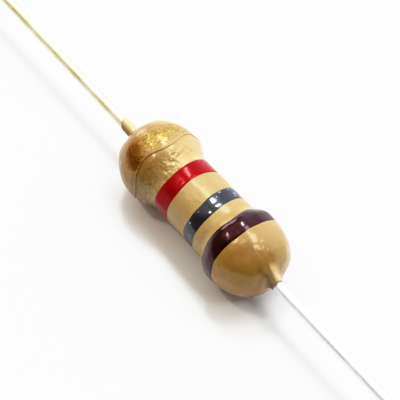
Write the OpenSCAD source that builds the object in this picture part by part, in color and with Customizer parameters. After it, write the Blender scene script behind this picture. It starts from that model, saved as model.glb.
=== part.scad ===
// Axial carbon film resistor of the half watt size, with four colour bands.
// The rod lies along X with its middle at the origin, and the first band is at the +X end.
// It is built from the inside out: ceramic rod, carbon film, pressed end caps, welded
// wires, lacquer coat, and the rings of paint printed on the lacquer.

/* [Ceramic rod] */
// Diameter of the ceramic rod
core_d = 2.4; // [1.8:0.05:3.6]
// Length of the ceramic rod
core_l = 7; // [6:0.1:12]
// Chamfer on the two end edges of the rod
core_chamfer = 0.15; // [0.1:0.01:0.3]

/* [Carbon film] */
// Thickness of the resistive film on the rod
film_t = 0.04; // [0.03:0.005:0.08]
// Axial width of the spiral trimming cut
groove_w = 0.2; // [0.1:0.01:0.3]
// Advance of the spiral cut in one turn
groove_pitch = 0.65; // [0.5:0.05:1]
// How far the spiral cut goes below the film, into the ceramic
groove_depth = 0.05; // [0.03:0.01:0.1]
// Plain film left between the spiral cut and each cap
groove_margin = 0.3; // [0.2:0.05:0.6]

/* [End caps] */
// Sheet thickness of the pressed steel caps
cap_wall = 0.2; // [0.12:0.01:0.3]
// Length of rod that a cap covers
cap_cover = 1.4; // [1:0.05:1.8]
// Outer corner radius of a cap
cap_corner_r = 0.25; // [0.2:0.01:0.35]

/* [Wires] */
// Diameter of the tinned copper wire
lead_d = 0.45; // [0.35:0.01:0.8]
// Length of each wire from the tip of the coated body
lead_l = 28; // [20:1:38]
// Diameter of the foot where the wire is welded to the cap
weld_d = 0.8; // [0.7:0.05:1.2]
// Thickness of that foot at its rim
weld_rim = 0.03; // [0.02:0.01:0.1]
// Extra tin on the wire just above the foot, which thins out to where the lacquer ends
tin_build = 0.01; // [0.005:0.005:0.03]
// Chamfer left by the cutter on the free end of the wire
lead_chamfer = 0.06; // [0.02:0.01:0.1]

/* [Lacquer coat] */
// Lacquer thickness over the film at the waist
coat_over_film = 0.165; // [0.1:0.005:0.3]
// Lacquer thickness over the side of the caps
coat_over_cap = 0.31; // [0.2:0.01:0.5]
// Lacquer thickness over the flat ends of the caps
coat_over_end = 0.7; // [0.5:0.05:1]
// Axial run of the shoulder between waist and cap
shoulder_run = 0.87; // [0.5:0.01:1]
// How far the shoulder starts before the edge of the cap
shoulder_lead_in = 0.63; // [0.4:0.01:0.8]
// Axial length of the rounded end of the body
dome_l = 1.95; // [1.5:0.05:2.2]
// Fullness of the rounded end, where 2 is a plain ellipse
dome_power = 2.45; // [2:0.05:3]
// Distance from the wire at which the lacquer starts to rise onto it
rise_w = 0.32; // [0.2:0.01:0.45]
// Thickness of the lacquer on the wire, just off the body
sleeve_wall = 0.045; // [0.035:0.005:0.1]
// Thickness of the lacquer on the wire at its end
sleeve_lip = 0.03; // [0.02:0.005:0.03]
// Length of lacquer on the left wire, from the tip of the body
sleeve_left_l = 1.05; // [0.4:0.05:1.5]
// Length of lacquer on the right wire, from the tip of the body
sleeve_right_l = 0.45; // [0.4:0.05:1.5]

/* [Paint bands] */
// Thickness of the printed paint
paint_t = 0.04; // [0.03:0.005:0.08]
// Width of the brown ring, the first digit
brown_w = 0.75; // [0.4:0.05:1]
// Width of the grey ring, the second digit
grey_w = 0.65; // [0.4:0.05:1]
// Width of the red ring, the multiplier
red_w = 0.8; // [0.4:0.05:1]
// Width of the gold ring, the tolerance
gold_w = 1.3; // [0.6:0.05:1.4]
// Distance from the right tip of the body to the brown ring
brown_from_tip = 1.7; // [1.2:0.05:2]
// Distance from the left tip of the body to the gold ring
gold_from_tip = 0.9; // [0.8:0.05:1.5]
// Bare lacquer between the brown and the grey ring
gap_brown_grey = 0.85; // [0.6:0.05:1.5]
// Bare lacquer between the grey and the red ring
gap_grey_red = 1; // [0.6:0.05:1.5]

/* [Hidden] */
$fn = 96;

// Radii, from the inside out
core_r = core_d / 2;
film_r = core_r + film_t;
cap_r = film_r + cap_wall;
waist_r = film_r + coat_over_film;
bulge_r = cap_r + coat_over_cap;
lead_r = lead_d / 2;
weld_r = weld_d / 2;
sleeve_r = lead_r + sleeve_wall;

// Roundings that the cap's sheet and the rod's chamfer limit
cap_inner_r = 0.6 * core_chamfer;
cap_lip_r = 0.3 * cap_wall;

// Places along X at the +X end
core_end = core_l / 2;
cap_end = core_end + cap_wall;
cap_edge = core_end - cap_cover;
body_tip = cap_end + coat_over_end;
lead_end = body_tip + lead_l;
shoulder_start = cap_edge - shoulder_lead_in;
dome_start = body_tip - dome_l;

// Inner edge of each ring of paint, counted from -X
brown_x = body_tip - brown_from_tip - brown_w;
grey_x = brown_x - gap_brown_grey - grey_w;
red_x = grey_x - gap_grey_red - red_w;
gold_x = gold_from_tip - body_tip;
ring_edges = [gold_x, gold_x + gold_w, red_x, red_x + red_w,
              grey_x, grey_x + grey_w, brown_x, brown_x + brown_w];

// The rounded end gives way to the fillet around the wire at radius rise_r. The fillet is
// an arc that leaves the rounded end along its own slope and meets the sleeve smoothly.
rise_r = lead_r + rise_w;
rise_x = dome_start + dome_l * super_ellipse(rise_r / bulge_r);
rise_turn = atan(dome_l / bulge_r * pow((rise_r / bulge_r) * dome_l / (rise_x - dome_start),
                                        dome_power - 1));
rise_arc_r = (rise_r - sleeve_r) / (1 - sin(rise_turn));
rise_arc_x = rise_x + rise_arc_r * cos(rise_turn);

// ---- outlines, as points of [radius, x] ----

// Height of a super ellipse of unit size at the given distance from its middle
function super_ellipse(d) = pow(1 - pow(min(d, 1), dome_power), 1 / dome_power);

// Eased step from 0 to 1
function ease(t) = let (c = max(0, min(1, t))) c * c * (3 - 2 * c);

// Outer radius of the lacquer: the waist, raised by the shoulder and lowered by the dome
function coat_r(x) =
    waist_r + (bulge_r - waist_r) * ease((abs(x) - shoulder_start) / shoulder_run)
    - bulge_r * (1 - super_ellipse(max(0, abs(x) - dome_start) / dome_l));

// Places from a to b, closer together where the body is steep. The lacquer and every ring
// of paint take theirs from here, so that the two share their points.
station_step = 1.5;
function station_angle(x) = asin(x / rise_x) / station_step;
function stations(a, b) =
    [a, for (i = [ceil(station_angle(a) + 0.3) : floor(station_angle(b) - 0.3)])
        rise_x * sin(i * station_step), b];

// Arc around [r, x], from angle a0 to a1
function arc(r, x, size, a0, a1, steps = 6) =
    [for (i = [0 : steps]) let (a = a0 + (a1 - a0) * i / steps)
        [r + size * cos(a), x + size * sin(a)]];

function reversed(list) = [for (i = [len(list) - 1 : -1 : 0]) list[i]];
function flipped(points) = [for (p = points) [p[0], -p[1]]];
function all_but_last(list) = [for (i = [0 : len(list) - 2]) list[i]];

// Fillet, sleeve and rounded lip at the +X end, from the body out to the wire
function sleeve_outline(sleeve_l) = concat(
    arc(sleeve_r + rise_arc_r, rise_arc_x, rise_arc_r, 270 - rise_turn, 180, 10),
    arc(lead_r, body_tip + sleeve_l - sleeve_lip, sleeve_lip, 0, 90, 4));

// Outside of a cap, from its edge to its corner
cap_outline = concat(
    arc(cap_r - cap_lip_r, cap_edge + cap_lip_r, cap_lip_r, 270, 360, 3),
    arc(cap_r - cap_corner_r, cap_end - cap_corner_r, cap_corner_r, 0, 90));

// Side of the welded foot, from the cap to the wire and its extra tin
weld_fillet = weld_r - lead_r - tin_build;
weld_outline = concat(
    [[weld_r, cap_end]],
    arc(weld_r, cap_end + weld_rim + weld_fillet, weld_fillet, 270, 180));

// ---- shared shapes ----

// Turns a half outline about the X axis
module turned(points) rotate([0, 90, 0]) rotate_extrude() polygon(points);

module at_left() mirror([1, 0, 0]) children();

// Winding bar that stands for the path of the trimming wheel
module spiral_cutter() {
    start = groove_margin - cap_edge;
    turns = 2 * (cap_edge - groove_margin) / groove_pitch;
    steps = round(24 * turns);
    low = core_r - groove_depth;
    high = film_r + groove_depth;
    half_w = groove_w / 2;
    section = [[low, -half_w], [high, -half_w], [high, half_w], [low, half_w]];
    points = [for (i = [0 : steps], c = section)
        let (a = 360 * turns * i / steps, x = start + groove_pitch * turns * i / steps)
        [x + c[1], c[0] * sin(a), -c[0] * cos(a)]];
    sides = [for (i = [0 : steps - 1], k = [0 : 3])
        let (a = 4 * i + k, b = 4 * i + (k + 1) % 4)
        each [[a, b, a + 4], [b, b + 4, a + 4]]];
    last = 4 * steps;
    ends = [[2, 1, 0], [3, 2, 0], [last, last + 1, last + 2], [last, last + 2, last + 3]];
    polyhedron(points, concat(sides, ends), convexity = 10);
}

// Pressed cup with rounded corners, at the +X end
module end_cap() turned(concat(
    [[0, core_end]],
    arc(film_r - cap_inner_r, core_end - cap_inner_r, cap_inner_r, 90, 0),
    arc(film_r + cap_lip_r, cap_edge + cap_lip_r, cap_lip_r, 180, 270, 3),
    cap_outline,
    [[0, cap_end]]));

// Straight wire with its welded foot and a cut free end, at the +X end. It tapers by the
// extra tin as far as the lacquer covers it, and is plain from there on.
module lead_wire(sleeve_l) turned(concat(
    [[0, cap_end]],
    weld_outline,
    [[lead_r, body_tip + sleeve_l],
     [lead_r, lead_end - lead_chamfer], [lead_r - lead_chamfer, lead_end], [0, lead_end]]));

// Ring of paint of even thickness that follows the lacquer from x0 over the given width
module paint_ring(x0, width) {
    h = 0.001;
    places = stations(x0, x0 + width);
    inside = [for (x = places) [coat_r(x), x]];
    outside = [for (x = places)
        let (slope = (coat_r(x + h) - coat_r(x - h)) / (2 * h), n = norm([1, slope]))
        [coat_r(x) + paint_t / n, x - paint_t * slope / n]];
    turned(concat(inside, reversed(outside)));
}

// ---- one module for each piece ----

module ceramic_rod() color("ivory") difference() {
    turned([[0, -core_end], [core_r - core_chamfer, -core_end],
            [core_r, core_chamfer - core_end], [core_r, core_end - core_chamfer],
            [core_r - core_chamfer, core_end], [0, core_end]]);
    spiral_cutter();
}

module carbon_film() color("dimgray") difference() {
    turned([[core_r, core_chamfer - core_end], [film_r, core_chamfer - core_end],
            [film_r, core_end - core_chamfer], [core_r, core_end - core_chamfer]]);
    spiral_cutter();
}

module end_cap_left() color("silver") at_left() end_cap();
module end_cap_right() color("silver") end_cap();
module lead_wire_left() color("gainsboro") at_left() lead_wire(sleeve_left_l);
module lead_wire_right() color("gainsboro") lead_wire(sleeve_right_l);

// Dog bone of lacquer, hollow around the film, the caps and the wires
module lacquer_coat() color("burlywood") {
    edges = concat([-rise_x], ring_edges, [rise_x]);
    body = [for (k = [0 : len(edges) - 2])
        for (x = all_but_last(stations(edges[k], edges[k + 1]))) [coat_r(x), x]];
    hollow = concat([[film_r, cap_edge]], cap_outline, weld_outline);
    turned(concat(
        all_but_last(reversed(flipped(sleeve_outline(sleeve_left_l)))),
        body,
        sleeve_outline(sleeve_right_l),
        reversed(hollow),
        flipped(hollow)));
}

module band_brown() color([0.25, 0.05, 0.1]) paint_ring(brown_x, brown_w);
module band_grey() color([0.22, 0.25, 0.3]) paint_ring(grey_x, grey_w);
module band_red() color([0.75, 0.02, 0.06]) paint_ring(red_x, red_w);
module band_gold() color([0.75, 0.55, 0.2]) paint_ring(gold_x, gold_w);

ceramic_rod();
carbon_film();
end_cap_left();
end_cap_right();
lead_wire_left();
lead_wire_right();
lacquer_coat();
band_brown();
band_grey();
band_red();
band_gold();
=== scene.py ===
import math

import bpy
import numpy as np
from mathutils import Matrix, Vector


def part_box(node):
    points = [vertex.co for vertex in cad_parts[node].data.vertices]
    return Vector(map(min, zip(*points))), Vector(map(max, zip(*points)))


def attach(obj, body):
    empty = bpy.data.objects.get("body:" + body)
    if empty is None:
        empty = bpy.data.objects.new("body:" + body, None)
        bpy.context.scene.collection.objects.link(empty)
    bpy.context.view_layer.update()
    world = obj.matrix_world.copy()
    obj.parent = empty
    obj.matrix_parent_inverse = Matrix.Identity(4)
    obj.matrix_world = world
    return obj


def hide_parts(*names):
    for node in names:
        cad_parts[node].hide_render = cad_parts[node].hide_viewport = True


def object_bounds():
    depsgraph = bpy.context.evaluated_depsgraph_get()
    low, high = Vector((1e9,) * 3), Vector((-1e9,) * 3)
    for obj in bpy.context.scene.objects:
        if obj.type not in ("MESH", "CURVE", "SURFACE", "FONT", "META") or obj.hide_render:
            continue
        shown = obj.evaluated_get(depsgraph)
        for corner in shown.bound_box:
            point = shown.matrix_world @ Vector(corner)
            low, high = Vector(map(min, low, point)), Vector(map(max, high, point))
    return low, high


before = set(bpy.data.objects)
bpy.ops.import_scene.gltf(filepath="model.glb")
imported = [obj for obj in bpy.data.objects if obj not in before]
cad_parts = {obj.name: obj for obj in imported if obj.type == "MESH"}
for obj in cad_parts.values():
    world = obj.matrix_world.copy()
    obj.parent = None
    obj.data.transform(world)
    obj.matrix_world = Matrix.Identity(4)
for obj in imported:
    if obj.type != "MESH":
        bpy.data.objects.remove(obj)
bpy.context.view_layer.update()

# ---- Ceramic rod ----
# The rod is fired porcelain, pressed as one piece, and a grinding wheel has cut a shallow
# spiral into it. Everything else is built on it, and the lacquer hides it.

MM_PER_METRE = 1000

noise_low = 0.3
noise_high = 0.7
grain_mm = 0.12
grain_height = 0.01
clay_dark = (0.78, 0.75, 0.68)
clay_light = (0.88, 0.86, 0.80)


def new_material(name):
    """An empty node material, with its Principled shader and the output already joined."""
    material = bpy.data.materials.new(name)
    material.use_nodes = True
    shader = material.node_tree.nodes["Principled BSDF"]
    return material, material.node_tree, shader


def add_node(tree, kind, inputs=(), **settings):
    """Adds a node, sets its options, and fills its input sockets.

    inputs maps a socket's name or number to a plain value, or to the output socket of
    another node, which is then linked.
    """
    node = tree.nodes.new(kind)
    for option, value in settings.items():
        setattr(node, option, value)
    for socket, value in dict(inputs).items():
        if isinstance(value, bpy.types.NodeSocket):
            tree.links.new(value, node.inputs[socket])
        else:
            node.inputs[socket].default_value = value
    return node


def place_on_piece(tree):
    """The point on the piece in metres, which is the same in every view."""
    return add_node(tree, "ShaderNodeTexCoord").outputs["Object"]


def noise(tree, place, size_mm, detail=2.0, roughness=0.5):
    """Cloudy noise whose blobs are about size_mm across."""
    node = add_node(
        tree,
        "ShaderNodeTexNoise",
        {"Vector": place, "Scale": MM_PER_METRE / size_mm, "Detail": detail, "Roughness": roughness},
    )
    return node.outputs["Fac"]


def ramp(tree, value, stops, interpolation="LINEAR"):
    """A colour for each value, from (place, colour) stops."""
    node = add_node(tree, "ShaderNodeValToRGB", {"Fac": value})
    node.color_ramp.interpolation = interpolation
    elements = node.color_ramp.elements
    elements[0].position, elements[0].color = stops[0][0], (*stops[0][1], 1)
    elements[1].position, elements[1].color = stops[-1][0], (*stops[-1][1], 1)
    for position, colour in stops[1:-1]:
        elements.new(position).color = (*colour, 1)
    return node.outputs["Color"]


def grey(tree, value, low, high, to_low=0.0, to_high=1.0):
    """Spreads the values between low and high over to_low to to_high, with no overshoot."""
    node = add_node(
        tree,
        "ShaderNodeMapRange",
        {"Value": value, "From Min": low, "From Max": high, "To Min": to_low, "To Max": to_high},
    )
    return node.outputs["Result"]


def combine(tree, operation, first, second):
    """Arithmetic on two values."""
    node = add_node(tree, "ShaderNodeMath", {0: first, 1: second}, operation=operation)
    return node.outputs["Value"]


def blend_colours(tree, amount, first, second, mode="MIX"):
    """Goes from the first colour to the second as amount goes from 0 to 1."""
    node = add_node(
        tree,
        "ShaderNodeMix",
        {"Factor": amount, 6: first, 7: second},
        data_type="RGBA",
        blend_type=mode,
    )
    return node.outputs[2]


def bump(tree, shader, height, distance_mm, strength=1.0):
    """Raises the surface by height, where a height of 1 is distance_mm."""
    node = add_node(
        tree,
        "ShaderNodeBump",
        {"Height": height, "Distance": distance_mm / MM_PER_METRE, "Strength": strength},
    )
    tree.links.new(node.outputs["Normal"], shader.inputs["Normal"])


def finish_node(name, material):
    """Gives a CAD node its material."""
    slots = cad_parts[name].data.materials
    slots.clear()
    slots.append(material)


porcelain, tree, shader = new_material("porcelain")
place = place_on_piece(tree)
grain = noise(tree, place, grain_mm, 4)
clay = ramp(tree, grain, [(noise_low, clay_dark), (noise_high, clay_light)])
tree.links.new(clay, shader.inputs["Base Color"])
tree.links.new(grey(tree, grain, noise_low, noise_high, 0.75, 0.9), shader.inputs["Roughness"])
bump(tree, shader, grain, grain_height)
finish_node("ceramic_rod", porcelain)

# ---- Carbon film ----
# The resistive layer is carbon, baked onto the rod from a gas. The spiral cut leaves it as
# one long ribbon from cap to cap.

soot_mm = 0.2
soot_height = 0.004
carbon_black = (0.035, 0.036, 0.040)
carbon_grey = (0.075, 0.077, 0.085)

carbon, tree, shader = new_material("carbon")
place = place_on_piece(tree)
soot = noise(tree, place, soot_mm, 5, 0.6)
black = ramp(tree, soot, [(noise_low, carbon_black), (noise_high, carbon_grey)])
tree.links.new(black, shader.inputs["Base Color"])
tree.links.new(grey(tree, soot, noise_low, noise_high, 0.35, 0.55), shader.inputs["Roughness"])
bump(tree, shader, soot, soot_height)
finish_node("carbon_film", carbon)

# ---- End caps ----
# The two caps are cups pressed from tin plated steel sheet. They are forced over the ends
# of the rod, onto the film.

scuff_mm = 0.4
scuff_height = 0.003
scuff_squeeze = (8, 1, 1)
steel_dark = (0.50, 0.49, 0.46)
steel_light = (0.66, 0.65, 0.62)

cap_steel, tree, shader = new_material("cap_steel")
place = place_on_piece(tree)
turned = add_node(tree, "ShaderNodeMapping", {"Vector": place, "Scale": scuff_squeeze})
scuff = noise(tree, turned.outputs["Vector"], scuff_mm, 5, 0.6)
steel = ramp(tree, scuff, [(noise_low, steel_dark), (noise_high, steel_light)])
tree.links.new(steel, shader.inputs["Base Color"])
tree.links.new(grey(tree, scuff, noise_low, noise_high, 0.28, 0.45), shader.inputs["Roughness"])
shader.inputs["Metallic"].default_value = 1
bump(tree, shader, scuff, scuff_height)
finish_node("end_cap_left", cap_steel)
finish_node("end_cap_right", cap_steel)

# ---- Wires ----
# Each wire is drawn copper with a coat of tin, butt welded to the middle of its cap and
# clipped at the free end, which leaves a small chamfer. Drawing leaves faint lines along it,
# and the tin of the left one has yellowed.

MM = 0.001

wire_r = 0.225
weld_r = 0.4
weld_rim = 0.03
tin_build = 0.01
cut_chamfer = 0.06
wire_sides = 64
foot_rings = 9
plain_rings = 60
plain_from = 5.6
drawn_stretch = (0.04, 1, 1)
drawn_mm = 0.05
drawn_height = 0.004
patch_mm = 1.6
patch_low = 0.35
patch_high = 0.65
tin_dark = (0.76, 0.77, 0.83)
tin_light = (0.88, 0.89, 0.91)
yellow_dark = (0.60, 0.56, 0.36)
yellow_light = (0.80, 0.77, 0.60)
stain_reach = 4


def box_mm(node):
    """Lowest and highest corner of a CAD node, in millimetres."""
    low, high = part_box(node)
    return np.array(low) / MM, np.array(high) / MM


def add_piece(name, points_mm, faces, material, smooth=None):
    """Makes a mesh object that rides on the resistor's one body."""
    mesh = bpy.data.meshes.new(name)
    mesh.from_pydata((points_mm * MM).tolist(), [], faces)
    mesh.polygons.foreach_set("use_smooth", np.ones(len(faces), bool) if smooth is None else smooth)
    mesh.materials.append(material)
    mesh.validate()
    mesh.update()
    piece = bpy.data.objects.new(name, mesh)
    bpy.context.scene.collection.objects.link(piece)
    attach(piece, "root")
    return piece


def around_x(along, radius, angle):
    """Points (along, radius sin a, radius cos a), so the angle starts at the top."""
    points = np.stack([along, radius * np.sin(angle), radius * np.cos(angle)], axis=-1)
    return points.reshape(-1, 3)


def grid_faces(rows, columns, rows_close):
    """Quads between neighbouring rows and columns of a grid whose columns close on themselves.

    They face outwards where the rows run towards +X and the columns run as in around_x.
    The last row joins the first one too if rows_close is true.
    """
    row = np.arange(rows if rows_close else rows - 1)[:, None]
    column = np.arange(columns)[None, :]
    next_row = (row + 1) % rows
    next_column = (column + 1) % columns
    corners = [row * columns + column, next_row * columns + column,
               next_row * columns + next_column, row * columns + next_column]
    return np.stack(np.broadcast_arrays(*corners), axis=-1).reshape(-1, 4)


tinned, tree, shader = new_material("tinned_wire")
place = place_on_piece(tree)
stretched = add_node(tree, "ShaderNodeMapping", {"Vector": place, "Scale": drawn_stretch})
lines = noise(tree, stretched.outputs["Vector"], drawn_mm, 3, 0.6)
patches = noise(tree, place, patch_mm, 4, 0.6)
fresh = ramp(tree, patches, [(patch_low, tin_dark), (patch_high, tin_light)])
yellowed = ramp(tree, patches, [(patch_low, yellow_dark), (patch_high, yellow_light)])
along = add_node(tree, "ShaderNodeSeparateXYZ", {"Vector": place}).outputs["X"]
stained = grey(tree, along, stain_reach * MM, -stain_reach * MM)
tin = blend_colours(tree, stained, fresh, yellowed)
tree.links.new(tin, shader.inputs["Base Color"])
tree.links.new(grey(tree, patches, noise_low, noise_high, 0.48, 0.6), shader.inputs["Roughness"])
shader.inputs["Metallic"].default_value = 1
bump(tree, shader, lines, drawn_height)

for side, sign in (("left", -1), ("right", 1)):
    low, high = box_mm(f"lead_wire_{side}")
    reach = np.sort(np.abs([low[0], high[0]]))
    weld_x, end_x = reach
    fillet = weld_r - wire_r - tin_build
    turn = np.linspace(0, math.pi / 2, foot_rings)
    foot_x = weld_x + weld_rim + fillet * (1 - np.cos(turn))
    foot_r = weld_r - fillet * np.sin(turn)
    plain_x = np.linspace(plain_from, end_x - cut_chamfer, plain_rings)
    along = np.concatenate([[weld_x], foot_x, plain_x, [end_x]])
    plain_r = np.full(plain_rings, wire_r)
    radius = np.concatenate([[weld_r], foot_r, plain_r, [wire_r - cut_chamfer]])
    order = slice(None) if sign > 0 else slice(None, None, -1)
    along = sign * along[order]
    radius = radius[order]
    angle = np.arange(wire_sides) * (2 * math.pi / wire_sides)
    points = around_x(*np.broadcast_arrays(along[:, None], radius[:, None], angle))
    quads = grid_faces(len(along), wire_sides, rows_close=False)
    first = list(range(wire_sides))
    last = list(range(len(points) - wire_sides, len(points)))
    faces = quads.tolist() + [first, last[::-1]]
    smooth = np.array([True] * len(quads) + [False, False])
    wire = add_piece(f"wire_{side}", points, faces, tinned, smooth)
    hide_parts(f"lead_wire_{side}")

# ---- Lacquer coat ----
# The body is dipped or rolled in tan epoxy lacquer, which thickens over the caps into a dog
# bone and cures glossy and uneven. It hangs thicker on one side, creeps up each wire as a
# sleeve, and is drawn up into a thin ridge over the right one. Its colour also carries painted
# light: shade painted on the lower side and in the crease beside the ridge, a warm cast painted
# low on the right dome, and light and sheen painted on upper sides.

coat_low, coat_high = box_mm("lacquer_coat")
red_high = box_mm("band_red")[1]
cap_low, cap_high = box_mm("end_cap_right")

paint = 0.04
trim = 0.018
bulge_r = coat_high[2] - trim
waist_r = red_high[2] - paint
cap_r = cap_high[2]
over_cap_end = 0.7
before_cap = 0.63
body_tip = cap_high[0] + over_cap_end
shoulder_from = cap_low[0] - before_cap
shoulder_run = 0.87
dome_l = 1.95
dome_power = 2.45
dome_from = body_tip - dome_l
slow_height = 0.008
slow_lengths = (2.2, 5.0)
slow_count = 14
slow_seed = 7
short_height = 0.009
short_lengths = (0.6, 1.4)
short_count = 60
short_seed = 11
even_below_r = 0.3
uneven_over_r = 0.7
droop_size = 0.016
droop_from = 1.2
droop_run = 1.4
# The way in which the left end droops; shade is also painted into the lacquer's colour towards this
# side.
droop_and_shade_way = (0, -0.928, -0.371)


def smooth_step(t):
    """3 t^2 - 2 t^3, from 0 to 1, flat at both ends."""
    t = np.clip(t, 0, 1)
    return t * t * (3 - 2 * t)


def super_ellipse(t):
    """Height (1 - t^p)^(1/p) of a rounded end, from 1 in its middle to 0 at its tip."""
    return (1 - np.clip(t, 0, 1) ** dome_power) ** (1 / dome_power)


def outline(x):
    """Radius of the body at x: the waist, raised by a shoulder and lowered by a dome."""
    out = np.abs(x)
    shoulder = (bulge_r - waist_r) * smooth_step((out - shoulder_from) / shoulder_run)
    dome = bulge_r * (1 - super_ellipse((out - dome_from) / dome_l))
    return waist_r + shoulder - dome


def waves(points, seed, count, lengths):
    """Unevenness as a sum of plane waves: the sum of h_k cos(2 pi (d_k . p) / length_k + phase_k).

    The headings d_k are random, the lengths are spread between the two given, a shorter
    wave is lower in proportion, and the whole has an rms height of 1.
    """
    pick = np.random.default_rng(seed)
    length = np.exp(pick.uniform(math.log(lengths[0]), math.log(lengths[1]), count))
    heading = pick.normal(size=(count, 3))
    heading /= np.linalg.norm(heading, axis=1)[:, None]
    phase = pick.uniform(0, 2 * math.pi, count)
    tall = length / np.sqrt(np.sum(length**2) / 2)
    return np.cos(points @ (heading * (2 * math.pi / length[:, None])).T + phase) @ tall


def skin(x, r, normal_x, normal_r, angle, lift):
    """Points of the cured surface over the smooth body: p + n (fade (slow + short) + lift) + droop d.

    p is the smooth body's point and n its normal. slow and short are sums of long and of
    short waves, and fade takes them from nothing near the wires to their full height on
    the body. The left end is moved by droop along d, the way in which the lacquer sags.
    """
    parts = np.broadcast_arrays(x, r, normal_x, normal_r, angle, lift)
    x, r, normal_x, normal_r, angle, lift = parts
    smooth = np.stack([x, r * np.sin(angle), r * np.cos(angle)], axis=-1)
    normal = np.stack([normal_x, normal_r * np.sin(angle), normal_r * np.cos(angle)], axis=-1)
    fade = smooth_step((r - even_below_r) / uneven_over_r)
    slow = slow_height * waves(smooth, slow_seed, slow_count, slow_lengths)
    uneven = slow + short_height * waves(smooth, short_seed, short_count, short_lengths)
    droop = droop_size * smooth_step(-(x + droop_from) / droop_run) * fade
    lopsided = droop[..., None] * np.array(droop_and_shade_way)
    return smooth + normal * (fade * uneven + lift)[..., None] + lopsided


def body_skin(x, angle, lift):
    """Points of the cured surface at x, for the stretch between the two domes."""
    step = 0.001
    slope = (outline(x + step) - outline(x - step)) / (2 * step)
    size = np.sqrt(1 + slope**2)
    return skin(x, outline(x), -slope / size, 1 / size, angle, lift)


def arc(centre_x, centre_r, size, start, stop, count):
    """Points (x, r) on an arc, with the angle in degrees from the +r direction towards +x."""
    turn = np.radians(np.linspace(start, stop, count))
    return np.stack([centre_x + size * np.sin(turn), centre_r + size * np.cos(turn)])


def add_group(tree, group, inputs):
    """Places a node group in a tree and fills its inputs."""
    node = tree.nodes.new("ShaderNodeGroup")
    node.node_tree = group
    for socket, value in inputs.items():
        if isinstance(value, bpy.types.NodeSocket):
            tree.links.new(value, node.inputs[socket])
        else:
            node.inputs[socket].default_value = value
    return node


thin_until = 1.2
thick_from = 2.9
thick_shade_side = (-1.3, 0.2)
shade_side = (-1.0, 1.2)
shade_starts = (-1.5, -2.6)
shade_eases = (-2.4, -2.85)
shoulder_x = -1.7
shoulder_away = (0.8, 0.3)
sheen_side = (0, -0.8)
least_depth = 0.3
cloud_most = 0.15
shade_left_over = 0.25
sheen_most = 0.6
pore_low = 0.62
pore_high = 0.75
pore_most = 0.3
sleeve_most = 0.9
cloud_mm = 2.2
fleck_mm = 0.14
ripple_mm = 0.36
sleeve_radius = (0.45, 0.28)
sleeve_shade_side = (-0.12, 0.2)
pore_brown = (0.20, 0.10, 0.03, 1)
sleeve_lit_tan = (0.56, 0.43, 0.22, 1)
sleeve_shaded_brown = (0.17, 0.09, 0.02, 1)


def between(tree, value, places_mm, to_low=0.0, to_high=1.0):
    """Goes from to_low to to_high as a length goes between two places given in millimetres."""
    start, stop = places_mm
    return grey(tree, value, start * MM, stop * MM, to_low, to_high)


def away_from(tree, value, place_mm):
    """How far a length is from one place given in millimetres, without its sign."""
    offset = combine(tree, "SUBTRACT", value, place_mm * MM)
    return combine(tree, "ABSOLUTE", offset, 0)


def droop_and_shade_side(tree, place):
    """How far a point lies towards the side on which the lacquer droops, which is also the side where
    shade is painted.
    """
    node = add_node(tree, "ShaderNodeVectorMath", {0: place, 1: droop_and_shade_way}, operation="DOT_PRODUCT")
    return node.outputs["Value"]


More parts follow.
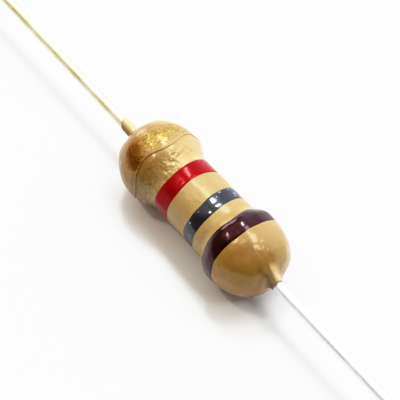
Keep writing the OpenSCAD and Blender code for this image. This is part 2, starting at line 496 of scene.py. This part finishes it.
def build_lacquer_colour():
    """Shader group: the tan of the lacquer, and the ripples in its surface.

    Thin goes to Thick away from the waist, and more so on the lower side as painted shade. A
    dark painted shade lies on the lower side of the left end, a pale painted sheen on the upper
    side of the left shoulder, small pores darken it, and each sleeve is painted lit on its upper
    side and shaded on its lower side.
    """
    group = bpy.data.node_groups.new("lacquer_colour", "ShaderNodeTree")
    group.interface.new_socket("Place", in_out="INPUT", socket_type="NodeSocketVector")
    for shade in ("Thin", "Thick", "Shaded", "Sheen"):
        group.interface.new_socket(shade, in_out="INPUT", socket_type="NodeSocketColor")
    group.interface.new_socket("Colour", in_out="OUTPUT", socket_type="NodeSocketColor")
    group.interface.new_socket("Ripple", in_out="OUTPUT", socket_type="NodeSocketFloat")
    source = add_node(group, "NodeGroupInput")
    spot = source.outputs["Place"]
    cloud = noise(group, spot, cloud_mm, 3, 0.55)
    fleck = noise(group, spot, fleck_mm, 2, 0.5)
    along = add_node(group, "ShaderNodeSeparateXYZ", {"Vector": spot}).outputs["X"]
    lower = droop_and_shade_side(group, spot)
    depth = between(group, combine(group, "ABSOLUTE", along, 0), (thin_until, thick_from))
    # Painted shade: the thick colour is weaker on the upper side, so the lower side is darker.
    depth = combine(group, "MULTIPLY", depth, between(group, lower, thick_shade_side, least_depth, 1))
    uneven = grey(group, cloud, noise_low, noise_high, -cloud_most, cloud_most)
    amount = combine(group, "ADD", depth, uneven)
    base = blend_colours(group, amount, source.outputs["Thin"], source.outputs["Thick"])
    # Painted shade: the lower side of the left end goes towards a dark shaded tan.
    shade_amount = between(group, lower, shade_side)
    shade_amount = combine(group, "MULTIPLY", shade_amount, between(group, along, shade_starts))
    shade_amount = combine(group, "MULTIPLY", shade_amount, between(group, along, shade_eases, 1, shade_left_over))
    base = blend_colours(group, shade_amount, base, source.outputs["Shaded"])
    # Painted sheen: the upper side of the left shoulder is lightened towards a pale tan.
    sheen_amount = between(group, away_from(group, along, shoulder_x), shoulder_away, 0, sheen_most)
    sheen_amount = combine(group, "MULTIPLY", sheen_amount, between(group, lower, sheen_side))
    base = blend_colours(group, sheen_amount, base, source.outputs["Sheen"])
    pores = grey(group, fleck, pore_low, pore_high, 0, pore_most)
    darker = blend_colours(group, pores, base, pore_brown)
    off_axis = add_node(group, "ShaderNodeMapping", {"Vector": spot, "Scale": (0, 1, 1)})
    radius = add_node(group, "ShaderNodeVectorMath", {0: off_axis.outputs["Vector"]}, operation="LENGTH")
    # Thin sleeves take their own colour, painted pale on their upper side as light and brown on their
    # lower side as shade.
    skinny = between(group, radius.outputs["Value"], sleeve_radius, 0, sleeve_most)
    sleeve = blend_colours(group, between(group, lower, sleeve_shade_side), sleeve_lit_tan, sleeve_shaded_brown)
    darker = blend_colours(group, skinny, darker, sleeve)
    ripple = noise(group, spot, ripple_mm, 1, 0.5)
    add_node(group, "NodeGroupOutput", {"Colour": darker, "Ripple": ripple})
    return group


lacquer_colour = build_lacquer_colour()
thin_tan = (0.365, 0.238, 0.093, 1)
thick_tan = (0.295, 0.158, 0.050, 1)
# A dark tan painted as shade on the lower side.
painted_shade_tan = (0.17, 0.072, 0.013, 1)
# A pale tan painted as light and sheen on upper sides.
painted_light_tan = (0.55, 0.38, 0.165, 1)
crease_shade_tan = (0.20, 0.075, 0.012, 1)
warm_cast_tint = (1, 0.97, 0.6, 1)
warm_cast_side = (0.4, 1.3)
warm_cast_from = (1.9, 2.6)
dull_x = 0.3
dull_away = (1.2, 1.8)
beads_x = -1.65
beads_away = (0.65, 0.2)
beads_mm = 0.2
beads_most = 3.0
waist_roughness = 0.36
end_roughness = 0.19
ripple_height = 0.03
lacquer_ior = 1.54
lacquer_tint = (1, 0.95, 0.70, 1)
lacquer_material, tree, shader = new_material("tan_lacquer")
place = place_on_piece(tree)
tan = add_group(
    tree,
    lacquer_colour,
    {"Place": place, "Thin": thin_tan, "Thick": thick_tan, "Shaded": painted_shade_tan, "Sheen": painted_light_tan},
)
along = add_node(tree, "ShaderNodeSeparateXYZ", {"Vector": place}).outputs["X"]
# Painted warm cast: the lower side of the right dome is tinted yellower, in place of warmer reflected
# light.
warm_cast = between(tree, droop_and_shade_side(tree, place), warm_cast_side)
warm_cast = combine(tree, "MULTIPLY", warm_cast, between(tree, along, warm_cast_from))
tan_colour = blend_colours(tree, warm_cast, tan.outputs["Colour"], warm_cast_tint, "MULTIPLY")
# Painted shade: a dark brown band in the crease on the ridge's left flank.
crease_shade_mask = add_node(tree, "ShaderNodeAttribute", attribute_name="painted_crease_shade").outputs["Fac"]
tan_colour = blend_colours(tree, crease_shade_mask, tan_colour, crease_shade_tan)
# The +Y flank of the right ridge is painted pale: thinner lacquer, and painted light on its lit side.
lit_ridge_mask = add_node(tree, "ShaderNodeAttribute", attribute_name="painted_lit_ridge").outputs["Fac"]
tan_colour = blend_colours(tree, lit_ridge_mask, tan_colour, painted_light_tan)
tree.links.new(tan_colour, shader.inputs["Base Color"])
dullness = between(tree, away_from(tree, along, dull_x), dull_away, waist_roughness, end_roughness)
tree.links.new(dullness, shader.inputs["Roughness"])
shader.inputs["IOR"].default_value = lacquer_ior
shader.inputs["Specular Tint"].default_value = lacquer_tint
beading = between(tree, away_from(tree, along, beads_x), beads_away, 0, beads_most)
beads = combine(tree, "MULTIPLY", noise(tree, place, beads_mm, 1, 0.5), beading)
bump(tree, shader, combine(tree, "ADD", tan.outputs["Ripple"], beads), ripple_height)


def hermite(start, start_way, stop, stop_way, count):
    """Cubic curve from start to stop that leaves and arrives along the two given ways."""
    t = np.linspace(0, 1, count)[1:-1]
    weights = [2 * t**3 - 3 * t**2 + 1, t**3 - 2 * t**2 + t, -2 * t**3 + 3 * t**2, t**3 - t**2]
    ends = [start, start_way, stop, stop_way]
    return sum(np.outer(end, weight) for end, weight in zip(ends, weights))


rise_r = 0.62
rise_x = dome_from + dome_l * super_ellipse(rise_r / bulge_r)
neck_x = 4.5
neck_r = 0.275
lip = 0.03
rise_way = (0.09, -0.45)
neck_way = (0.3, -0.03)
rise_rings = 30
sleeve_rings = 10
lip_rings = 6
web_x = 4.1
web_z = 1.14
web_fall = 1.36
web_run = 0.12
web_width = 0.28
web_steep = 0.09
web_soft = 0.03
web_top = 0.4
web_pale = 0.08
crest_y = -0.1
crest_soft = 0.06
# Where shade is painted in the crease on the left flank of the right ridge.
crease_x = 3.9
crease_y = -0.18
crease_lean = 0.3
crease_width = 0.12
crease_run = 0.3
crease_rise = 0.15
crease_shade_most = 0.85
sleeve_short = 0.2
slant = 0.32
slant_angle = 0.9
cap_wall = 0.2
foot_run = 0.2
body_rings = 280
ring_spread = 0.97
coat_sides = 240


def neck(tip_x):
    """The lacquer's rise onto the wire, its thin sleeve, and the lip where it ends."""
    rise = hermite((rise_x, rise_r), rise_way, (neck_x, neck_r), neck_way, rise_rings)
    sleeve = np.stack([np.linspace(neck_x, tip_x - lip, sleeve_rings)[:-1],
                       np.linspace(neck_r, wire_r + lip, sleeve_rings)[:-1]])
    rounded = arc(tip_x - lip, wire_r, lip, 0, 90, lip_rings)
    return np.concatenate([rise, sleeve, rounded], axis=1)


right_end = neck(coat_high[0] - sleeve_short)
left_end = neck(-coat_low[0])[:, ::-1] * [[-1], [1]]
across = np.linspace(-1, 1, body_rings)
body_x = rise_x * np.sin(across * math.pi / 2 * ring_spread) / math.sin(math.pi / 2 * ring_spread)
body = np.stack([body_x, outline(body_x)])
weld_x = cap_high[0]
rod_r = cap_r - cap_wall
foot_end = weld_x + foot_run
hollow_half = np.array([[0, rod_r], [cap_low[0], rod_r], [cap_low[0], cap_r],
                        [weld_x, cap_r], [weld_x, weld_r], [foot_end, wire_r]]).T
hollow = np.concatenate([hollow_half[:, ::-1], (hollow_half * [[-1], [1]])[:, 1:]], axis=1)
outside = np.concatenate([left_end, body, right_end], axis=1)
way = np.gradient(outside, axis=1)
way /= np.linalg.norm(way, axis=0)
angle = np.arange(coat_sides) * (2 * math.pi / coat_sides)
x = outside[0][:, None]
outer_points = skin(x, outside[1][:, None], -way[1][:, None], way[0][:, None], angle, 0)
missing = web_z - web_fall * (x - web_x) - outside[1][:, None]
web = (missing + np.sqrt(missing**2 + web_soft**2)) / 2 * smooth_step((x - web_x) / web_run)
beside = outer_points[..., 1]
flank = np.where(beside < crest_y, web_steep, web_width)
web = web * np.exp(-((beside - crest_y) / flank) ** 2) * smooth_step(np.cos(angle) / web_top)
outer_points[..., 2] += web
sheared = smooth_step((-x - neck_x) / (-coat_low[0] - neck_x))
outer_points[..., 0] += slant * sheared * (1 - np.cos(angle - slant_angle)) / 2
inner_points = around_x(*np.broadcast_arrays(hollow[0][:, None], hollow[1][:, None], angle))
points = np.concatenate([outer_points.reshape(-1, 3), inner_points])
rows = len(points) // coat_sides
coat = add_piece("lacquer_body", points, grid_faces(rows, coat_sides, rows_close=True).tolist(),
                 lacquer_material)
above = outer_points[..., 2]
# Paler on the ridge's +Y flank only: thin lacquer there, with painted light on the lit side.
lit_ridge = np.clip(web / web_pale, 0, 1) * smooth_step((beside - crest_y + crest_soft) / (2 * crest_soft))
# Painted shade along the crease on the ridge's left flank.
crease_shade = crease_shade_most * np.exp(-((beside - crease_y + crease_lean * above) / crease_width) ** 2)
crease_shade = crease_shade * smooth_step((x - crease_x) / crease_run) * smooth_step(above / crease_rise)
for attribute, amount in (("painted_lit_ridge", lit_ridge), ("painted_crease_shade", crease_shade)):
    layer = coat.data.attributes.new(attribute, "FLOAT", "POINT")
    layer.data.foreach_set("value", np.concatenate([amount.ravel(), np.zeros(len(inner_points))]))
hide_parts("lacquer_coat")

# ---- Brown, grey and red rings ----
# The value rings are rolled on in thick glossy paint, one after the other. Each is a thin
# raised skin with soft, slightly wandering edges. The brown one runs wider on one side, and
# the grey one is flecked with pale specks.

ring_sides = 240
ring_rows = 49
wave_circle = 1.6
edge_waves = 12
edge_lengths = (0.9, 4.0)
bow_angle = 0.6
sway_angle = 0.35
sways_around = 4
edge_sink = 0.004
bead_in = 0.06
bead_spread = 0.035
paint_depth = 0.03
speck_mm = 0.13
speck_size = 0.3
speck_grey = (0.30, 0.32, 0.34, 1)
paint_cloud_mm = 0.9
paint_ripple_mm = 0.45
paint_ripple = 0.02


def ring_surface(node, seed, wander, thick, bead=0.0, sway=0.0, bow=0.0):
    """Closed skin of paint around the body, from the CAD ring's own edges.

    Across the ring the height is thick (1 - |s|^4) - sink |s|^8 for s from -1 to 1, on top
    of the lacquer, plus bead exp(-((distance from the right edge - bead_in) / spread)^2).
    Both edges wander with the angle by a sum of waves. bow moves the left edge outwards
    by bow (1 + cos(angle - bow_angle)) / 2, and sway moves the right edge inwards by
    sway (1 - cos(4 angle - sway_angle)). The underside runs below the lacquer.
    """
    low, high = box_mm(node)
    angle = np.arange(ring_sides) * (2 * math.pi / ring_sides)
    circle = wave_circle * np.stack([0 * angle, np.sin(angle), np.cos(angle)], axis=-1)
    left = low[0] + wander * waves(circle, seed, edge_waves, edge_lengths)
    left = left - bow * (1 + np.cos(angle - bow_angle)) / 2
    right = high[0] + wander * waves(circle, seed + 1, edge_waves, edge_lengths)
    right = right - sway * (1 - np.cos(sways_around * angle - sway_angle))
    s = np.sin(np.linspace(-math.pi / 2, math.pi / 2, ring_rows))[:, None]
    x = (left + right) / 2 + s * (right - left) / 2
    to_edge = (right - left) / 2 * (1 - s)
    top = thick * (1 - np.abs(s) ** 4) - edge_sink * np.abs(s) ** 8
    top = top + bead * np.exp(-((to_edge - bead_in) / bead_spread) ** 2)
    outer = body_skin(x, angle, top)
    inner = body_skin(x, angle, -paint_depth)[::-1]
    points = np.concatenate([outer, inner]).reshape(-1, 3)
    return points, grid_faces(2 * ring_rows, ring_sides, rows_close=True).tolist()


def paint_material(name, dark, light, roughness, ior, tint, specks):
    """Glossy paint that varies in clouds from dark to light.

    specks is the share of the small cells that hold a pale speck.
    """
    material, tree, shader = new_material(name)
    place = place_on_piece(tree)
    cloud = noise(tree, place, paint_cloud_mm, 4, 0.55)
    base = ramp(tree, cloud, [(patch_low, dark), (patch_high, light)])
    cells = {"Vector": place, "Scale": MM_PER_METRE / speck_mm}
    grain = add_node(tree, "ShaderNodeTexVoronoi", cells, feature="F1")
    chance = add_node(tree, "ShaderNodeSeparateColor", {"Color": grain.outputs["Color"]}).outputs["Red"]
    close = combine(tree, "LESS_THAN", grain.outputs["Distance"], speck_size)
    speck = combine(tree, "MULTIPLY", combine(tree, "LESS_THAN", chance, specks), close)
    tree.links.new(blend_colours(tree, speck, base, speck_grey), shader.inputs["Base Color"])
    shader.inputs["Roughness"].default_value = roughness
    shader.inputs["IOR"].default_value = ior
    shader.inputs["Specular Tint"].default_value = (*tint, 1)
    bump(tree, shader, noise(tree, place, paint_ripple_mm, 1, 0.45), paint_ripple)
    return material


brown_dark = (0.014, 0.0007, 0.0016)
brown_light = (0.028, 0.0014, 0.0034)
grey_dark = (0.011, 0.011, 0.018)
grey_light = (0.022, 0.021, 0.032)
red_dark = (0.21, 0.001, 0.003)
red_light = (0.29, 0.002, 0.006)
brown_paint = paint_material(
    "maroon_paint", brown_dark, brown_light, roughness=0.15, ior=1.5, tint=(1, 0.66, 0.66), specks=0
)
grey_paint = paint_material(
    "slate_paint", grey_dark, grey_light, roughness=0.13, ior=1.54, tint=(1, 1, 1), specks=0.2
)
red_paint = paint_material(
    "red_paint", red_dark, red_light, roughness=0.19, ior=1.4, tint=(1, 0.3, 0.3), specks=0
)
edge_wander = 0.03
paint_thick = 0.018
brown_bow = 0.13

value_rings = (
    ("brown", brown_paint, 21, brown_bow),
    ("grey", grey_paint, 31, 0),
    ("red", red_paint, 41, 0),
)
for name, material, seed, bow in value_rings:
    points, faces = ring_surface(f"band_{name}", seed, edge_wander, paint_thick, bow=bow)
    ring = add_piece(f"{name}_ring", points, faces, material)
    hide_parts(f"band_{name}")

# ---- Gold ring ----
# The tolerance ring is clear resin that carries gold coloured metal flakes, most of them on
# its outer half, so the lacquer shows between them. They are crowded along two strokes, and in
# two patches on the shaded side they are painted rust brown as shade. The inner edge stands up
# as a fine bead.

flake_mm = 0.04
stroke_top = 0.1
stroke_rear = 2.0
stroke_power = 3
bead_height = 0.035
edge_sway = 0.13
gold_seed = 51
gold_thick = 0.02
crowd_inner = (-2.45, -2.9)
crowd_outer = (-3.5, -3.25)
crowd_most = 1.35
crowd_cloud_mm = 0.5
shaded_patch_reach = (0.66, 0.3)
shaded_patch_places = ((-3.2, -0.68), (-2.85, -0.85))
flake_dark = (0.17, 0.085, 0.012)
flake_mid = (0.32, 0.19, 0.04)
flake_light = (0.56, 0.40, 0.13)
shaded_flake_dark = (0.075, 0.022, 0.001)
shaded_flake_light = (0.28, 0.10, 0.006)
flake_metal = 0.45
crowd_low = 0.30
crowd_high = 0.52
crowd_least = 0.25
resin_roughness = 0.32
resin_ripple = 0.04
resin_tint = (1, 0.90, 0.60, 1)

gold_paint, tree, shader = new_material("gold_flake")
place = place_on_piece(tree)
tan = add_group(
    tree,
    lacquer_colour,
    {"Place": place, "Thin": thin_tan, "Thick": thick_tan, "Shaded": painted_shade_tan, "Sheen": painted_light_tan},
)
cells = {"Vector": place, "Scale": MM_PER_METRE / flake_mm}
flake = add_node(tree, "ShaderNodeTexVoronoi", cells, feature="F1")
along = add_node(tree, "ShaderNodeSeparateXYZ", {"Vector": place}).outputs["X"]
outward = between(tree, along, crowd_inner)
outward = combine(tree, "MULTIPLY", outward, between(tree, along, crowd_outer))
# Painted shade: in two patches on the shaded side the flakes turn rust brown.
shaded_patch = 0
for shaded_patch_x, shaded_patch_angle in shaded_patch_places:
    centre = (shaded_patch_x * MM, bulge_r * MM * math.sin(shaded_patch_angle), bulge_r * MM * math.cos(shaded_patch_angle))
    away = add_node(tree, "ShaderNodeVectorMath", {0: place, 1: centre}, operation="DISTANCE")
    shaded_patch = combine(tree, "MAXIMUM", between(tree, away.outputs["Value"], shaded_patch_reach), shaded_patch)
brushed = 0
for stroke_angle, fold in ((stroke_top, "ABSOLUTE"), (stroke_rear, "MAXIMUM")):
    way = (0, math.sin(stroke_angle) / (bulge_r * MM), math.cos(stroke_angle) / (bulge_r * MM))
    facing = add_node(tree, "ShaderNodeVectorMath", {0: place, 1: way}, operation="DOT_PRODUCT")
    stroke = combine(tree, "POWER", combine(tree, fold, facing.outputs["Value"], 0), stroke_power)
    brushed = combine(tree, "MAXIMUM", stroke, brushed)
cloud = noise(tree, place, crowd_cloud_mm, 4, 0.6)
cloud = grey(tree, cloud, crowd_low, crowd_high, crowd_least, 1.0)
crowd = combine(tree, "MULTIPLY", combine(tree, "MULTIPLY", outward, brushed), cloud)
chance = add_node(tree, "ShaderNodeSeparateColor", {"Color": flake.outputs["Color"]}).outputs["Red"]
crowd = combine(tree, "MAXIMUM", combine(tree, "MULTIPLY", crowd, crowd_most), shaded_patch)
mask = combine(tree, "LESS_THAN", chance, crowd)
shine = add_node(tree, "ShaderNodeSeparateColor", {"Color": flake.outputs["Color"]}).outputs["Green"]
metal = ramp(tree, shine, [(0, flake_dark), (0.5, flake_mid), (1, flake_light)])
shaded_flakes = ramp(tree, shine, [(0, shaded_flake_dark), (1, shaded_flake_light)])
metal = blend_colours(tree, shaded_patch, metal, shaded_flakes)
flaked = blend_colours(tree, mask, tan.outputs["Colour"], metal)
tree.links.new(flaked, shader.inputs["Base Color"])
tree.links.new(combine(tree, "MULTIPLY", mask, flake_metal), shader.inputs["Metallic"])
shader.inputs["Roughness"].default_value = resin_roughness
shader.inputs["IOR"].default_value = lacquer_ior
shader.inputs["Specular Tint"].default_value = resin_tint
bump(tree, shader, tan.outputs["Ripple"], resin_ripple)
points, faces = ring_surface("band_gold", gold_seed, edge_wander, gold_thick, bead_height, edge_sway)
ring = add_piece("gold_ring", points, faces, gold_paint)
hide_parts("band_gold")

# ---- Studio ----
# The resistor lies on a plain white sheet under six soft lamps, hidden from the camera, in a
# room with three soft bright patches and a white backdrop. A response curve gives the picture
# its tones, as film does, and the camera looks down on the right end.

floor_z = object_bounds()[0][2] / MM
floor_half = 500
sheet_white = (0.82, 0.81, 0.79, 1)
sheet_roughness = 0.9
sheet_gloss = 0.1
corners = np.array([[-1, -1, 0], [1, -1, 0], [1, 1, 0], [-1, 1, 0]]) * floor_half + [0, 0, floor_z]
floor_mesh = bpy.data.meshes.new("floor")
floor_mesh.from_pydata((corners * MM).tolist(), [], [[0, 1, 2, 3]])
floor = bpy.data.objects.new("floor", floor_mesh)
bpy.context.scene.collection.objects.link(floor)
white, tree, shader = new_material("white_sheet")
shader.inputs["Base Color"].default_value = sheet_white
shader.inputs["Roughness"].default_value = sheet_roughness
shader.inputs["Specular IOR Level"].default_value = sheet_gloss
floor_mesh.materials.append(white)


def turned_to(back, side):
    """Euler angles of a thing whose local +Z points along back and +X lies near side."""
    back = np.array(back) / np.linalg.norm(back)
    across = side - np.dot(side, back) * back
    across = across / np.linalg.norm(across)
    axes = np.stack([across, np.cross(back, across), back], axis=1)
    return Matrix(axes.tolist()).to_euler()


def soft_lamp(name, towards, distance, size, power, colour):
    """A rectangular lamp in the given direction from the resistor, aimed at it."""
    data = bpy.data.lights.new(name, "AREA")
    data.shape = "RECTANGLE"
    data.size = size[0] * MM
    data.size_y = size[1] * MM
    data.energy = power
    data.color = colour
    lamp = bpy.data.objects.new(name, data)
    bpy.context.scene.collection.objects.link(lamp)
    towards = np.array(towards) / np.linalg.norm(towards)
    lamp.location = towards * distance * MM
    lamp.rotation_euler = turned_to(towards, np.array([1.0, 0, 0]))
    lamp.visible_camera = False
    return lamp


lamp_distance = 600
cool = (0.95, 1, 1.03)
soft_lamp("left_lamp", (-0.42, 0.31, 0.85), lamp_distance, (100, 100), 1.55, cool)
soft_lamp("middle_lamp", (0.0, 0.42, 0.91), lamp_distance, (260, 190), 1.35, cool)
soft_lamp("right_lamp", (0.50, 0.25, 0.83), lamp_distance, (130, 130), 0.65, cool)
soft_lamp("end_lamp", (-0.97, 0.13, 0.12), lamp_distance, (180, 180), 0.55, (0.98, 1, 0.96))
soft_lamp("near_lamp", (-0.36, -0.29, 0.88), lamp_distance, (70, 44), 0.6, (1, 0.94, 0.86))
soft_lamp("fill_lamp", (0.5, -0.45, 0.74), lamp_distance, (250, 250), 0.14, (1, 0.86, 0.7))


def glow(tree, direction, centre, dark_at, bright_at, strength, colour):
    """A soft bright patch of the room: full at the centre, gone where the cosine is dark_at."""
    centre = np.array(centre) / np.linalg.norm(centre)
    cosine = add_node(tree, "ShaderNodeVectorMath", {0: direction, 1: centre}, operation="DOT_PRODUCT")
    cosine = cosine.outputs["Value"]
    spread = {"Value": cosine, "From Min": dark_at, "From Max": bright_at, "To Max": strength}
    fade = add_node(tree, "ShaderNodeMapRange", spread, interpolation_type="SMOOTHSTEP")
    patch = add_node(tree, "ShaderNodeBackground", {"Color": colour, "Strength": fade.outputs["Result"]})
    return patch.outputs["Background"]


world = bpy.data.worlds.new("room")
bpy.context.scene.world = world
world.use_nodes = True
tree = world.node_tree
tree.nodes.clear()
direction = add_node(tree, "ShaderNodeTexCoord").outputs["Generated"]
window = glow(tree, direction, (-0.1, 0.9, 0.4), 0.25, 0.9, 1.9, (0.92, 1, 1.12, 1))
wall = glow(tree, direction, (-0.52, -0.06, 0.85), 0.74, 0.97, 1.5, (1, 0.97, 0.92, 1))
side = glow(tree, direction, (-0.75, -0.65, 0.1), 0.5, 0.95, 0.5, (1, 0.85, 0.65, 1))
bright = add_node(tree, "ShaderNodeAddShader", {0: window, 1: wall})
room = add_node(tree, "ShaderNodeAddShader", {0: bright.outputs["Shader"], 1: side})
white_at = 3.2
plain = add_node(tree, "ShaderNodeBackground", {"Color": (1, 1, 1, 1), "Strength": white_at})
path = add_node(tree, "ShaderNodeLightPath")
both = add_node(tree, "ShaderNodeMixShader", {"Fac": path.outputs["Is Camera Ray"]})
tree.links.new(room.outputs["Shader"], both.inputs[1])
tree.links.new(plain.outputs["Background"], both.inputs[2])
add_node(tree, "ShaderNodeOutputWorld", {"Surface": both.outputs["Shader"]})

bpy.context.scene.view_settings.view_transform = "Standard"
response = bpy.context.scene.view_settings.curve_mapping
bpy.context.scene.view_settings.use_curve_mapping = True
response.white_level = (white_at, white_at, white_at)
shadow_tones = ((0.04, 0.014), (0.1, 0.064), (0.25, 0.20))
middle_tones = ((0.5, 0.48), (0.8, 0.77), (1.0, 0.90))
bright_tones = ((1.25, 0.95), (1.5, 0.968), (1.65, 0.982))
for scene_light, picture in shadow_tones + middle_tones + bright_tones:
    response.curves[3].points.new(scene_light / white_at, picture)
response.update()

azimuth = math.radians(51.46)
elevation = math.radians(57.3)
camera_distance = 54.4
frame_right = -0.129
frame_up = 0.278
lens_mm = 121.5
sensor_mm = 36
nearest_mm = 1
farthest_m = 10
back = np.array([
    math.sin(azimuth) * math.cos(elevation),
    -math.cos(azimuth) * math.cos(elevation),
    math.sin(elevation),
])
right = np.array([math.cos(azimuth), math.sin(azimuth), 0])
up = np.cross(back, right)
camera_data = bpy.data.cameras.new("camera")
camera_data.lens = lens_mm
camera_data.sensor_width = sensor_mm
camera_data.clip_start = nearest_mm * MM
camera_data.clip_end = farthest_m
camera = bpy.data.objects.new("camera", camera_data)
bpy.context.scene.collection.objects.link(camera)
camera.location = (back * camera_distance + right * frame_right + up * frame_up) * MM
camera.rotation_euler = turned_to(back, right)
bpy.context.scene.camera = camera
